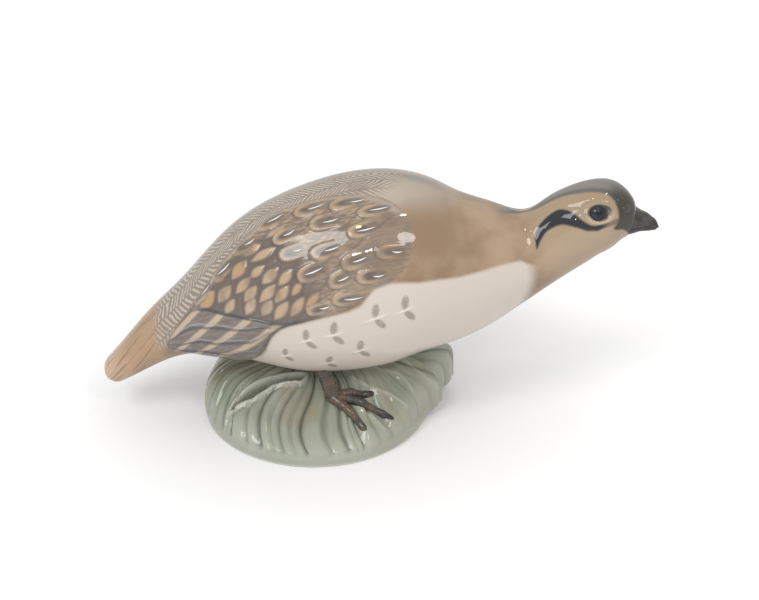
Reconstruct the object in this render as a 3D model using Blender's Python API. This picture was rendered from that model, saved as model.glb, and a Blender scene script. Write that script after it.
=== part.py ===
# Porcelain quail figurine: a slip-cast bird that leans forward over a grassy mound, joined wet and fired as one.
# +X points from tail to bill and +Z up. The origin is on the ground under the middle of the bounding box.
# Sizes are in millimetres and become metres where a mesh is written.

import math
from collections import namedtuple

import bmesh
import bpy
import numpy as np

MM = 0.001

# Sections of the bird across its spine, from the tail to the face.
# x and z place the spine, width and depth are half sizes, fullness moves the widest line up (+) or down (-).
Section = namedtuple("Section", "part x z width depth fullness")
SECTIONS = (
    Section("tail end", -90.0, 13.6, 6.0, 3.8, 0.0),
    Section("tail", -81.0, 20.8, 8.0, 5.8, 0.0),
    Section("tail root", -70.5, 29.4, 11.0, 8.6, 0.0),
    Section("rump", -57.0, 37.0, 17.0, 13.8, -0.05),
    Section("loin", -38.5, 44.2, 25.0, 24.8, -0.05),
    Section("back", -16.0, 49.8, 28.5, 31.4, -0.05),
    Section("shoulder", 8.0, 54.6, 27.2, 30.6, -0.05),
    Section("breast", 24.5, 54.5, 22.2, 24.9, 0.0),
    Section("neck base", 39.0, 57.2, 16.0, 18.4, 0.0),
    Section("neck", 51.0, 60.7, 11.8, 12.9, 0.0),
    Section("nape", 60.5, 66.6, 10.6, 12.7, 0.0),
    Section("crown", 68.0, 71.3, 10.2, 11.7, 0.0),
    Section("brow", 74.2, 72.5, 9.2, 9.9, 0.0),
    Section("lores", 78.6, 71.5, 6.8, 7.3, 0.0),
    Section("face", 82.0, 69.6, 3.8, 3.4, 0.0),
)
# The sections lean with the spine's slope over this distance each way, so they never cross in the bend of the neck.
LEAN_REACH = 10.0
TAIL_ROUNDING = 4.0
FACE_ROUNDING = 2.5

# Lines of the loft: rings along the spine, and lines around it, fine on the flanks and coarse on back and belly.
BIRD_RINGS = 46
CAP_RINGS = 5
FLANK_REACH = 60.0
FLANK_STEP = 5.5
BACK_STEP = 10.0

# The folded wing stands proud of the flank. Its outline runs on the unrolled flank: distance along the spine
# from the tail end, and height over the middle of the flank.
WING_OUTLINE = (
    (28.0, 0.0),
    (44.0, 12.0),
    (60.0, 27.0),
    (77.0, 38.0),
    (99.0, 36.0),
    (110.0, 24.0),
    (108.0, 9.0),
    (90.0, 0.5),
    (68.0, -2.0),
    (57.0, -13.0),
    (45.0, -15.5),
    (32.0, -6.5),
)
WING_RISE = 1.1
WING_EDGE = 2.2
WING_FADE_FROM = 70.0
WING_FADE_TO = 112.0
# The bird leans a little, so the far wing's upper edge lies this much lower, over the height where it begins.
FAR_WING_DROP = 7.0
FAR_WING_FROM = 22.0

# Bill: it starts inside the face. Sections across each half are a share of the bill's length, a height over the
# face's middle, half width and half depth.
BILL_LENGTH = 13.2
BILL_SINK = 6.3
BILL_UPPER = (
    (0.0, 2.2, 4.6, 4.0),
    (0.45, 1.2, 3.6, 2.7),
    (0.57, 0.7, 3.1, 2.4),
    (0.8, -0.8, 1.7, 1.6),
    (0.93, -2.3, 0.8, 0.9),
)
BILL_LOWER = (
    (0.0, -1.2, 4.4, 3.4),
    (0.45, -2.2, 3.3, 2.3),
    (0.57, -2.3, 2.7, 1.7),
    (0.8, -2.6, 1.4, 1.0),
    (0.87, -2.8, 0.8, 0.6),
)
# Each half's tip: share of the length and height over the face's middle.
BILL_UPPER_TIP = (1.0, -3.2)
BILL_LOWER_TIP = (0.93, -2.9)
BILL_RINGS = 8
BILL_LINES = 12

EYE_ALONG = 171.8
EYE_HEIGHT = math.radians(26.0)
EYE_RADIUS = 2.6
EYE_PROUD = 1.1

# Mound under the bird. Its crown is under the belly, and its plinth reaches further out on the far side.
MOUND_X = -21.0
PLINTH_OFFSET = 4.0
MOUND_HALF_LENGTH = 36.6
MOUND_HALF_WIDTH = 40.2
MOUND_HEIGHT = 21.5
PLINTH_HEIGHT = 5.0
PLINTH_BULGE = 0.8
# How full the dome is towards each compass direction, in degrees from +X: 1 is a cone, 2 a ball, 5 a block.
FULLNESS = ((-90.0, 1.05), (-50.0, 1.3), (0.0, 3.0), (18.0, 4.6), (50.0, 2.6), (90.0, 1.25), (180.0, 2.2), (225.0, 1.5))
# Pointed leaves that reach out over the ground: direction, reach past the plinth, half angle.
LEAVES = ((18.0, 11.0, 20.0), (-2.0, 5.8, 11.0), (50.0, 3.5, 16.0))

# Grass blades fan out from the crown, each from one crease to the next, unevenly wide and high.
BLADES = 24
BLADE_RISE = 0.95
BLADE_UNEVEN = 0.3
BLADE_PITCH = 2.4
BLADE_SWIRL = math.radians(30.0)
BLADE_BEND = math.radians(5.0)
# Height across a blade as a share of its rise: in the crease, on the crest and on the shoulder.
BLADE_PROFILE = (-0.6, 1.0, 0.35)
DOME_RINGS = 11
# Side of the plinth: level as a share of its height, bulge share, and share of the leaves' reach over it.
PLINTH_PROFILE = ((0.55, 1.0, 0.6), (0.22, 0.7, 0.18), (0.0, 0.0, 0.0))

# Underside: the foot ring the figurine stands on and the shallow recess inside it.
FOOT_RING = 6.0
RECESS = 2.5
VENT_DIAMETER = 3.6

# Slip-cast wall, the thicker wall under the blades, and the hole luted between the bird and the mound.
WALL = 3.2
BLADE_WALL = 4.5
LOWEST_HOLLOW = 1.0
THROAT_DIAMETER = 7.0
# Cutters run on past the walls they open by this much.
CUT_MARGIN = 2.0

# Legs: thick shanks and three long toes a foot, spread over the mound and sunk a little into its blades.
LEG_X = -15.0
LEG_Y = 18.5
HIP_BACK = 5.0
HIP_INWARD = 4.0
HIP_SINK = 8.0
SHANK_RADIUS = 2.3
SHANK_FLARE = 1.1
ANKLE_RADIUS = 1.9
TOE_RADIUS = 1.7
TOE_TIP_RADIUS = 0.85
TOE_SINK = 0.75
# Each toe's end from its ankle: forward and outward.
TOES = ((11.2, 9.4), (19.0, 1.9), (12.8, -3.4))
LIMB_STEPS = 5


def natural_spline(knots, values):
    """Returns a function that reads a smooth curve, unbent at its ends, through the values at the knots."""
    knots = np.asarray(knots, float)
    values = np.asarray(values, float)
    gaps = np.diff(knots)
    count = len(knots)
    matrix = np.eye(count)
    target = np.zeros_like(values)
    for i in range(1, count - 1):
        matrix[i, i - 1 : i + 2] = gaps[i - 1], 2 * (gaps[i - 1] + gaps[i]), gaps[i]
        rise = (values[i + 1] - values[i]) / gaps[i]
        fall = (values[i] - values[i - 1]) / gaps[i - 1]
        target[i] = 6 * (rise - fall)
    bend = np.linalg.solve(matrix, target)

    def read(where):
        where = np.asarray(where, float)
        i = np.clip(np.searchsorted(knots, where) - 1, 0, count - 2)
        gap = gaps[i][..., None]
        right = (where[..., None] - knots[i][..., None]) / gap
        left = 1 - right
        curve = (left**3 - left) * bend[i] + (right**3 - right) * bend[i + 1]
        return left * values[i] + right * values[i + 1] + curve * gap**2 / 6

    return read


def chord_lengths(points):
    """Distance of each point along the line through them."""
    steps = np.linalg.norm(np.diff(np.asarray(points, float), axis=0), axis=1)
    return np.concatenate(([0.0], np.cumsum(steps)))


def soft_step(value):
    """Rises smoothly from 0 to 1 as the value does."""
    value = np.clip(value, 0, 1)
    return value * value * (3 - 2 * value)


def round_shares(count):
    """Shares from above 0 to 1 that lie closer together towards 1, as rings do round a dome or a rounded end."""
    return np.sin(np.linspace(0, math.pi / 2, count + 1))[1:]


SPINE = chord_lengths([(section.x, section.z) for section in SECTIONS])
LENGTH = SPINE[-1]
read_section = natural_spline(SPINE, [section[1:] for section in SECTIONS])
BELLY_BOTTOM = min(section.z - section.depth for section in SECTIONS if section.part in ("loin", "back", "shoulder"))


def spine_at(part):
    """Distance of a named section along the spine."""
    return SPINE[[section.part for section in SECTIONS].index(part)]


def closed_curve(points, steps):
    """A smooth closed outline through the points."""
    points = np.asarray(points, float)
    count = len(points)
    out = []
    for i in range(count):
        before, here, after, beyond = (points[(i + k) % count] for k in (-1, 0, 1, 2))
        for t in np.arange(steps) / steps:
            push = (after - before) * t + (2 * before - 5 * here + 4 * after - beyond) * t**2
            out.append(here + 0.5 * (push + (3 * here - before - 3 * after + beyond) * t**3))
    return np.array(out)


def depth_inside(outline, along, height):
    """Distance of each point from a closed outline, positive inside it."""
    nearest = np.full(along.shape, np.inf)
    inside = np.zeros(along.shape, bool)
    for (ax, ay), (bx, by) in zip(outline, np.roll(outline, -1, axis=0)):
        dx, dy = bx - ax, by - ay
        t = np.clip(((along - ax) * dx + (height - ay) * dy) / (dx * dx + dy * dy), 0, 1)
        nearest = np.minimum(nearest, np.hypot(along - ax - t * dx, height - ay - t * dy))
        crosses = (ay > height) != (by > height)
        if by != ay:
            inside ^= crosses & (along < ax + (height - ay) * dx / (by - ay))
    return np.where(inside, nearest, -nearest)


WING = closed_curve(WING_OUTLINE, 6)


def wing_relief(along, height):
    """How far the folded wing stands proud of the flank."""
    edge = soft_step(depth_inside(WING, along, height) / WING_EDGE)
    fade = 1 - soft_step((along - WING_FADE_FROM) / (WING_FADE_TO - WING_FADE_FROM))
    return WING_RISE * edge * fade


def bird_surface(along, around, inset=0.0):
    """Points of the bird at distances along the spine and angles around it: a quarter turn is the top."""
    x, z, width, depth, fullness = np.moveaxis(read_section(along), -1, 0)
    before = read_section(np.maximum(along - LEAN_REACH, 0.0))
    ahead = (read_section(np.minimum(along + LEAN_REACH, LENGTH)) - before)[..., :2]
    ahead = ahead / np.linalg.norm(ahead, axis=-1, keepdims=True)
    tail_cap = np.clip(1 - along / TAIL_ROUNDING, 0, 1)
    face_cap = np.clip(1 - (LENGTH - along) / FACE_ROUNDING, 0, 1)
    cap = np.sqrt(np.clip(1 - np.maximum(tail_cap, face_cap) ** 2, 0, 1))
    flank = np.arctan2(np.sin(around), np.abs(np.cos(around))) * (width + depth) / 2
    flank = flank + np.where(np.cos(around) > 0, FAR_WING_DROP, 0.0) * soft_step(flank / FAR_WING_FROM)
    lift = wing_relief(along, flank) if inset == 0 else -inset
    width = (width + lift) * cap
    depth = (depth + lift) * cap
    sideways = width * np.cos(around) * (1 + fullness * np.sin(around))
    upright = depth * np.sin(around)
    return np.stack((x - ahead[..., 1] * upright, sideways, z + ahead[..., 0] * upright), -1)


def skin(name, rings, first, last, collection):
    """Builds a closed surface from rings of points and the two points that close its ends."""
    mesh = bpy.data.meshes.new(name)
    body = bmesh.new()
    loops = [[body.verts.new(point * MM) for point in ring] for ring in rings]
    start = body.verts.new(np.asarray(first) * MM)
    end = body.verts.new(np.asarray(last) * MM)
    size = len(loops[0])
    for j in range(size):
        k = (j + 1) % size
        body.faces.new((start, loops[0][k], loops[0][j]))
        body.faces.new((end, loops[-1][j], loops[-1][k]))
        for a, b in zip(loops, loops[1:]):
            body.faces.new((a[j], a[k], b[k], b[j]))
    bmesh.ops.recalc_face_normals(body, faces=body.faces)
    body.to_mesh(mesh)
    body.free()
    mesh.shade_smooth()
    piece = bpy.data.objects.new(name, mesh)
    collection.objects.link(piece)
    return piece


def bird_angles():
    """Angles of the loft's lines: fine on both flanks, where the wings are, and coarse on back and belly."""
    flank = np.radians(np.arange(-FLANK_REACH, FLANK_REACH, FLANK_STEP))
    back = np.radians(np.arange(FLANK_REACH, 180.0 - FLANK_REACH, BACK_STEP))
    return np.concatenate((flank, back, flank + math.pi, back + math.pi))


def make_bird(collection):
    tail = TAIL_ROUNDING * (1 - np.sqrt(1 - round_shares(CAP_RINGS) ** 2))
    face = LENGTH - FACE_ROUNDING * (1 - np.sqrt(1 - round_shares(CAP_RINGS) ** 2))
    middle = np.linspace(tail[-1], face[-1], BIRD_RINGS)[1:-1]
    rows = np.concatenate((tail, middle, face[::-1]))
    around = bird_angles()
    rings = [bird_surface(np.full(around.shape, row), around) for row in rows]
    first, last = bird_surface(np.array([0.0, LENGTH]), np.zeros(2))
    return skin("quail_figurine", rings, first, last, collection)


def make_hollow(collection):
    """The inside of the cast bird, one wall thickness in, from the rump to the back of the head."""
    rows = np.linspace(spine_at("rump"), spine_at("crown"), 26)
    around = np.linspace(0, 2 * math.pi, 20, endpoint=False)
    rings = [bird_surface(np.full(around.shape, row), around, WALL) for row in rows]
    first = rings[0].mean(axis=0)
    last = rings[-1].mean(axis=0)
    return skin("bird_hollow", rings, first, last, collection)


def make_mandible(name, sections, tip, collection):
    """One half of the bill, lofted through its sections to the tip."""
    face = SECTIONS[-1]
    root = face.x - BILL_SINK
    sections = np.array(sections)
    read = natural_spline(sections[:, 0], sections[:, 1:])
    shares = np.linspace(0, sections[-1, 0], BILL_RINGS)
    around = np.linspace(0, 2 * math.pi, BILL_LINES, endpoint=False)
    rings = []
    for share, (height, width, depth) in zip(shares, read(shares)):
        x = np.full(around.shape, root + BILL_LENGTH * share)
        rings.append(np.stack((x, width * np.cos(around), face.z + height + depth * np.sin(around)), -1))
    first = rings[0].mean(axis=0)
    last = (root + BILL_LENGTH * tip[0], 0.0, face.z + tip[1])
    return skin(name, rings, first, last, collection)


def make_eye(side, collection):
    around = EYE_HEIGHT if side > 0 else math.pi - EYE_HEIGHT
    place = bird_surface(np.array([EYE_ALONG]), np.array([around]))[0]
    bpy.ops.mesh.primitive_uv_sphere_add(segments=12, ring_count=8, radius=EYE_RADIUS * MM)
    eye = bpy.context.object
    eye.name = "eye_left" if side > 0 else "eye_right"
    eye.location = (place - np.array((0, side * (EYE_RADIUS - EYE_PROUD), 0))) * MM
    move_to(eye, collection)
    return eye


def read_around(table, direction):
    """Reads a table of degrees and values at a direction in radians, eased between its entries."""
    table = sorted((angle % 360.0, value) for angle, value in table)
    angles = np.array([table[-1][0] - 360.0] + [row[0] for row in table] + [table[0][0] + 360.0])
    values = np.array([table[-1][1]] + [row[1] for row in table] + [table[0][1]])
    degrees = np.degrees(direction) % 360.0
    i = np.clip(np.searchsorted(angles, degrees) - 1, 0, len(angles) - 2)
    ease = soft_step((degrees - angles[i]) / (angles[i + 1] - angles[i]))
    return values[i] + (values[i + 1] - values[i]) * ease


def foot_radius(direction):
    """Reach of the oval plinth from the crown, which lies off its middle."""
    across = np.cos(direction) / MOUND_HALF_LENGTH
    back = np.sin(direction) / MOUND_HALF_WIDTH
    offset = PLINTH_OFFSET / MOUND_HALF_WIDTH
    steepness = across**2 + back**2
    return (back * offset + np.sqrt((back * offset) ** 2 + steepness * (1 - offset**2))) / steepness


def leaf_reach(direction):
    """How far the leaves stand out past the plinth."""
    reach = np.zeros(np.shape(direction))
    for angle, length, spread in LEAVES:
        off = (np.degrees(direction) - angle + 180.0) % 360.0 - 180.0
        reach = np.maximum(reach, length * np.clip(1 - np.abs(off) / spread, 0, 1))
    return reach


def dome_height(share, direction, height=MOUND_HEIGHT):
    """Height of the dome at a share of its radius."""
    fullness = read_around(FULLNESS, direction)
    rise = np.clip(1 - np.clip(share, 0, 1) ** fullness, 0, 1) ** (1 / fullness)
    return PLINTH_HEIGHT + (height - PLINTH_HEIGHT) * rise


def mound_top(x, y):
    """Height of the mound over a place on the ground, without its blades."""
    x = x - MOUND_X
    direction = math.atan2(y, x)
    share = math.hypot(x, y) / (foot_radius(direction) + leaf_reach(direction))
    return float(dome_height(share, direction))


def mound_ring(direction, radius, height):
    height = np.broadcast_to(height, direction.shape)
    x = MOUND_X + radius * np.cos(direction)
    return np.stack((x, radius * np.sin(direction), height), -1)


def blade_lines():
    """Directions of the mound's lines, from crease to crease, and the height of each across its blade."""
    number = np.arange(BLADES + 1)
    creases = (number + BLADE_UNEVEN * np.sin(BLADE_PITCH * number)) * 2 * math.pi / BLADES
    creases[-1] = 2 * math.pi
    shares = np.arange(len(BLADE_PROFILE)) / len(BLADE_PROFILE)
    lines = creases[:-1, None] + np.diff(creases)[:, None] * shares
    heights = np.diff(creases)[:, None] / (2 * math.pi / BLADES) * np.array(BLADE_PROFILE)
    return lines.ravel(), np.clip(heights, -1.0, 1.0).ravel()


def make_mound(collection):
    """Dome of drooping grass blades on a rounded plinth, with a foot ring and a recess underneath."""
    lines, crest = blade_lines()
    foot = foot_radius(lines)
    rings = []
    for share in round_shares(DOME_RINGS):
        swirl = BLADE_SWIRL * (1 - share) * np.sin(2 * lines) - BLADE_BEND * math.sin(2 * math.pi * share)
        direction = lines - swirl
        lift = BLADE_RISE * crest * soft_step(2 * share)
        radius = share * (foot_radius(direction) + leaf_reach(direction)) + lift * share
        rings.append(mound_ring(direction, radius, dome_height(share, direction) + lift * (1 - share**4)))
    for level, bulge, overhang in PLINTH_PROFILE:
        radius = foot + PLINTH_BULGE * bulge + leaf_reach(lines) * overhang
        rings.append(mound_ring(lines, radius, PLINTH_HEIGHT * level))
    rings.append(mound_ring(lines, foot - FOOT_RING, 0.0))
    rings.append(mound_ring(lines, foot - FOOT_RING - RECESS, RECESS))
    return skin("mound", rings, (MOUND_X, 0.0, MOUND_HEIGHT), (MOUND_X, 0.0, RECESS), collection)


def make_mound_hollow(collection):
    """The inside of the cast mound, over its flat floor."""
    lines = np.linspace(0, 2 * math.pi, 24, endpoint=False)
    floor = RECESS + WALL
    rings = []
    for share in round_shares(5):
        radius = share * (foot_radius(lines) - WALL)
        height = np.maximum(dome_height(share, lines) - BLADE_WALL, floor + LOWEST_HOLLOW)
        rings.append(mound_ring(lines, radius, height))
    rings.append(mound_ring(lines, foot_radius(lines) - 2 * WALL, floor))
    top = (MOUND_X, 0.0, MOUND_HEIGHT - BLADE_WALL)
    return skin("mound_hollow", rings, top, (MOUND_X, 0.0, floor), collection)


def make_bore(name, place, diameter, low, high, collection):
    bpy.ops.mesh.primitive_cylinder_add(vertices=16, radius=diameter / 2 * MM, depth=(high - low) * MM)
    bore = bpy.context.object
    bore.name = name
    bore.location = (place[0] * MM, place[1] * MM, (low + high) / 2 * MM)
    move_to(bore, collection)
    return bore


def make_limb(name, points, radii, collection):
    """A leg or toe: a tube along its points that tapers as the radii say, made a mesh with welded caps."""
    curve = bpy.data.curves.new(name, "CURVE")
    curve.dimensions = "3D"
    curve.bevel_depth = MM
    curve.bevel_resolution = 2
    curve.use_fill_caps = True
    spline = curve.splines.new("POLY")
    spline.points.add(len(points) - 1)
    for target, point, radius in zip(spline.points, points, radii):
        target.co = (point[0] * MM, point[1] * MM, point[2] * MM, 1.0)
        target.radius = radius
    wire = bpy.data.objects.new(name, curve)
    collection.objects.link(wire)
    bpy.context.view_layer.update()
    tube = bpy.data.meshes.new_from_object(wire.evaluated_get(bpy.context.evaluated_depsgraph_get()))
    bpy.data.objects.remove(wire)
    body = bmesh.new()
    body.from_mesh(tube)
    bmesh.ops.remove_doubles(body, verts=body.verts, dist=0.01 * MM)
    bmesh.ops.recalc_face_normals(body, faces=body.faces)
    body.to_mesh(tube)
    body.free()
    limb = bpy.data.objects.new(name, tube)
    collection.objects.link(limb)
    return limb


def make_leg(side, collection):
    """A shank from the belly to the mound, and three toes that follow the mound's slope."""
    name = "left" if side > 0 else "right"
    ankle = np.array((LEG_X, side * LEG_Y, mound_top(LEG_X, side * LEG_Y) + ANKLE_RADIUS - TOE_SINK))
    hip = np.array((LEG_X - HIP_BACK, side * (LEG_Y - HIP_INWARD), BELLY_BOTTOM + HIP_SINK))
    shank = hip + (ankle - hip) * np.linspace(0, 1, LIMB_STEPS)[:, None]
    radii = np.linspace(SHANK_RADIUS * SHANK_FLARE, SHANK_RADIUS, LIMB_STEPS)
    pieces = [make_limb(name + "_shank", shank, radii, collection)]
    for number, (forward, outward) in enumerate(TOES):
        points = [ankle]
        radii = [ANKLE_RADIUS]
        for step in np.arange(1, LIMB_STEPS + 1) / LIMB_STEPS:
            x = LEG_X + forward * step
            y = side * (LEG_Y + outward * step)
            radii.append(TOE_RADIUS + (TOE_TIP_RADIUS - TOE_RADIUS) * step)
            points.append(np.array((x, y, mound_top(x, y) + radii[-1] - TOE_SINK)))
        pieces.append(make_limb(f"{name}_toe_{number + 1}", points, radii, collection))
    return pieces


def move_to(piece, collection):
    for old in list(piece.users_collection):
        old.objects.unlink(piece)
    collection.objects.link(piece)


def combine(body, piece, operation, solver="EXACT"):
    """Joins a piece to the body, or cuts it out, and hides the piece from the finished model."""
    step = body.modifiers.new(piece.name, "BOOLEAN")
    step.operation = operation
    step.object = piece
    step.solver = solver
    piece.hide_render = True
    piece.display_type = "WIRE"


def glaze():
    material = bpy.data.materials.new("glazed_porcelain")
    material.use_nodes = True
    shader = material.node_tree.nodes["Principled BSDF"]
    shader.inputs["Base Color"].default_value = (0.47, 0.38, 0.29, 1.0)
    shader.inputs["Roughness"].default_value = 0.08
    shader.inputs["Metallic"].default_value = 0.0
    return material


def stand_on_origin(figurine, pieces):
    """Moves everything so that the origin is under the middle of the finished figurine."""
    bpy.context.view_layer.update()
    shape = figurine.evaluated_get(bpy.context.evaluated_depsgraph_get())
    corners = np.array([shape.matrix_world @ vertex.co for vertex in shape.data.vertices])
    low, high = corners.min(axis=0), corners.max(axis=0)
    frame = bpy.data.objects.new("figurine_frame", None)
    frame.location = (-(low[0] + high[0]) / 2, -(low[1] + high[1]) / 2, -low[2])
    figurine.users_collection[0].objects.link(frame)
    for piece in pieces:
        piece.parent = frame


def main():
    for old in list(bpy.data.objects):
        bpy.data.objects.remove(old)
    parts = bpy.data.collections.new("quail_figurine")
    cutters = bpy.data.collections.new("joined_and_cut")
    for collection in (parts, cutters):
        bpy.context.scene.collection.children.link(collection)
    bird = make_bird(parts)
    bird.data.materials.append(glaze())
    added = [
        make_mandible("bill_lower", BILL_LOWER, BILL_LOWER_TIP, cutters),
        make_mandible("bill_upper", BILL_UPPER, BILL_UPPER_TIP, cutters),
        make_eye(1, cutters),
        make_eye(-1, cutters),
        make_mound(cutters),
    ]
    limbs = make_leg(1, cutters) + make_leg(-1, cutters)
    crown = (MOUND_X, 0.0)
    throat_low = MOUND_HEIGHT - BLADE_WALL - CUT_MARGIN
    throat_high = BELLY_BOTTOM + WALL + CUT_MARGIN
    removed = [
        make_hollow(cutters),
        make_mound_hollow(cutters),
        make_bore("throat", crown, THROAT_DIAMETER, throat_low, throat_high, cutters),
        make_bore("vent", crown, VENT_DIAMETER, -CUT_MARGIN, RECESS + WALL + CUT_MARGIN, cutters),
    ]
    for piece in added:
        combine(bird, piece, "UNION")
    for piece in limbs:
        # The toes of a foot start at one ankle, and the exact solver loses the body where they nearly coincide.
        combine(bird, piece, "UNION", "MANIFOLD")
    for piece in removed:
        combine(bird, piece, "DIFFERENCE")
    stand_on_origin(bird, [bird] + added + limbs + removed)


main()
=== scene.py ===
# Porcelain quail figurine: the glazed bird, its grassy mound, legs, bill and eyes
import math

import bmesh
import bpy
import numpy as np
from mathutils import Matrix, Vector


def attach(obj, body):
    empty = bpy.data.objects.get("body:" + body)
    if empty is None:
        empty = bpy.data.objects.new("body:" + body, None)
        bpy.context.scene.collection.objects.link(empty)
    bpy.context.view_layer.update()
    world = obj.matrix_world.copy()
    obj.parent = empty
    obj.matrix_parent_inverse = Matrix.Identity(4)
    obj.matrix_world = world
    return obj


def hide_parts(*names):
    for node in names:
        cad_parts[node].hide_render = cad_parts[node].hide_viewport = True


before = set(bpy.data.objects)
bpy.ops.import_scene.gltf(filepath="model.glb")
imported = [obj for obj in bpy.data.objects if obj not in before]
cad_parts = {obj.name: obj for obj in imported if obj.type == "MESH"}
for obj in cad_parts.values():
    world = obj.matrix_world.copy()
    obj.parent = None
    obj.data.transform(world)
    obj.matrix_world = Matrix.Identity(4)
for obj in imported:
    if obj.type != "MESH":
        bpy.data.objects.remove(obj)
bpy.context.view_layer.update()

mm = 0.001
quarter = math.pi / 2

# The bird's form: sections across its spine as x, z, half width, half depth and fullness, in mm
bird = dict(
    sections=(
        (-89.95, 13.6, 6, 3.78, 0),
        (-81, 20.8, 8, 5.8, 0),
        (-70.5, 29.4, 11, 8.6, 0),
        (-57, 37, 17, 13.8, -0.05),
        (-38.5, 44.2, 25, 24.8, -0.05),
        (-16, 49.8, 28.5, 31.4, -0.05),
        (8, 54.6, 27.2, 30.6, -0.05),
        (24.5, 54.5, 22.2, 24.9, 0),
        (39, 57.2, 16, 18.4, 0),
        (51, 60.7, 11.8, 12.9, 0),
        (60.5, 66.9, 10.6, 12.35, -0.06),
        (68, 70.95, 10.2, 12.05, -0.08),
        (74.2, 71.75, 9.2, 10.65, -0.06),
        (78, 71, 6.9, 7.5, 0),
        (80.9, 69, 4.5, 4.3, 0),
    ),
    leanReach=10,
    tailRounding=4,
    faceRounding=2.5,
    shift=(0.97, -4, 0),  # from the bird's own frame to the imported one
    wingAngles=(-56, 76),
    capRows=8,
    neck=150,  # the head starts here, and each piece sinks a little under the other beyond it
    tuck=0.01,
)
# Rows along the spine as start, end and step; steps in degrees round it: near flank, far flank, top, belly
bodyGrid = dict(
    zones=((4, 26, 1), (26, 113, 0.45), (113, 138, 1.1), (138, 152, 0.5)),
    steps=(0.66, 1.3, 1.6, 2.4),
)
headGrid = dict(zones=((148, 184, 0.2),), steps=(0.6, 1.1, 1.6, 2.8))
wing = dict(
    outline=(
        (28, 0), (44, 12), (60, 27), (77, 38), (99, 36), (110, 24),
        (108, 9), (90, 0.5), (68, -2), (57, -13), (45, -15.5), (32, -6.5),
    ),
    rise=1.1,
    edge=2.2,
    fadeFrom=70,
    fadeTo=112,
    farDrop=7,
    farFrom=22,
    secondariesTop=((40, 16), (51, 17), (60, 22), (72, 27), (80, 17), (86, 8), (96, 3)),
    shoulder=(118, 20, 17),
)
# Where painted zones show, as start and reach in mm along u the spine, v the flank, w the flank as the wing
# lies on it, back from the ridge, or depth inside the wing. A minus reach fades out, and stretches multiply
zones = dict(
    flight=(("u", 82, -8),),
    white=(("u", 50, 5),),
    whiteUnderWing=(("u", 78, -4),),
    secondaries=(("u", 86, -8),),
    front=(("u", 78, 26), ("w", 31, -8)),
    topLine=(("u", 86, -10), ("u", 42, 5)),
    border=(("u", 102, -10),),
    ridge=(("depth", 2.8, -1.4), ("depth", 0, 0.5)),
    ridgeFront=(("u", 80, 24),),
    mantle=(("u", 62, 20), ("u", 150, -52), ("v", 22, 14)),
    greyTop=(("u", 86, 8), ("u", 126, -16), ("back", 5, -5)),
    herring=(("u", 18, 9), ("v", -2, 3)),
    cap=(("u", 139, 8),),
    brow=(("u", 156, 8), ("u", 176, -4)),
    lores=(("u", 173.5, 4.5), ("v", 17, -9)),
    stripeEnd=(("u", 173, 3),),
)
# Dark spot of each covert: root and tip on the unrolled flank, and half width
coverts = dict(
    spots=(
        (51.2, 16.8, 44.2, 12.2, 1.35), (59.7, 22.8, 52.7, 17.9, 1.5), (68.5, 28.5, 60.7, 24.7, 1.5),
        (78, 35.2, 69.2, 31.4, 1.55), (90.7, 35.1, 81.5, 33.6, 1.6), (101, 33.6, 92.6, 33.1, 1.4),
        (106.4, 29.4, 99.6, 28.5, 1.25), (81.2, 28.3, 73.5, 25.5, 1.4), (95.4, 28.5, 86, 28.1, 1.75),
        (103.4, 23.5, 96.4, 22.8, 1.4), (82, 21.5, 74.6, 20.4, 1.5), (92.9, 19.7, 84.5, 19, 1.5),
        (99.6, 15.2, 93.2, 14.2, 1.6), (109.4, 14.6, 102.8, 15.4, 1.3), (88.4, 15, 79, 13.4, 1.7),
        (94.6, 11, 88, 9.8, 1.35), (103.8, 8.9, 96.6, 9.4, 1.35), (96.6, 3.5, 88, 4.5, 1.1),
        (86, 3.3, 79.3, 3.1, 0.9),
    ),
    rootMargin=0.5,
    tipMargin=1.7,
    sideMargin=1,
    softEdge=0.5,
    tipRise=0.45,
    lozengeRise=0.3,
)
# Lozenges of the lower coverts: middle, half length, half width, lean in degrees and warmth
lozenges = (
    (60.5, 18.6, 3.9, 1.75, 43, 0.9), (68.5, 21.9, 4.3, 1.3, 22, 0.4), (60.6, 13.7, 3.5, 1.35, 37, 0.35),
    (65.7, 17, 2.9, 1.25, 32, 0.3), (69.3, 15.1, 3.5, 1.6, 33, 0.2), (73.8, 13.9, 3.2, 1.4, 36, 0.35),
    (54.2, 12.1, 3.5, 1.7, 40, 0.45), (62.2, 10.9, 3.2, 1.5, 40, 0.3), (67.4, 10.2, 3.9, 1.5, 36, 0.2),
    (71.6, 9.3, 3.5, 1.45, 38, 0.4), (54.7, 8.1, 3.1, 1.35, 44, 0.25), (61.1, 7.1, 3.2, 1.5, 46, 0.15),
    (66, 6, 3.1, 1.6, 44, 0.1), (70.2, 4.6, 3.8, 1.6, 40, 0.3), (75.4, 5, 3.9, 1.45, 42, 0.45),
    (48, 11.2, 4.2, 2, 38, 1), (65.3, 24, 3.4, 1.3, 26, 0.55), (73.4, 28.6, 3.6, 1.1, 26, 0.35),
    (54.2, 17.2, 2.6, 1.1, 34, 0.6), (76.6, 10.2, 2.6, 1.1, 40, 0.7), (80.2, 5.8, 3.4, 1.2, 38, 0.9),
)
primaries = dict(
    top=((28, 2), (36, 7.4), (40, 9.3), (43.7, 9.4), (47.2, 8.6), (52.2, 6.3), (58.7, 4), (63, 2.7),
         (65.7, 1.4), (74.2, -0.4), (84, -1)),
    bottom=((28, -1), (32, -6.5), (45, -15.5), (57, -13), (64, -6), (72, -3), (84, -2)),
    feathers=4,
    rise=0.45,
    barSpacing=14,
    barStart=39,
    barLean=(3.2, -0.0244),
    barHalf=0.135,
)
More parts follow.
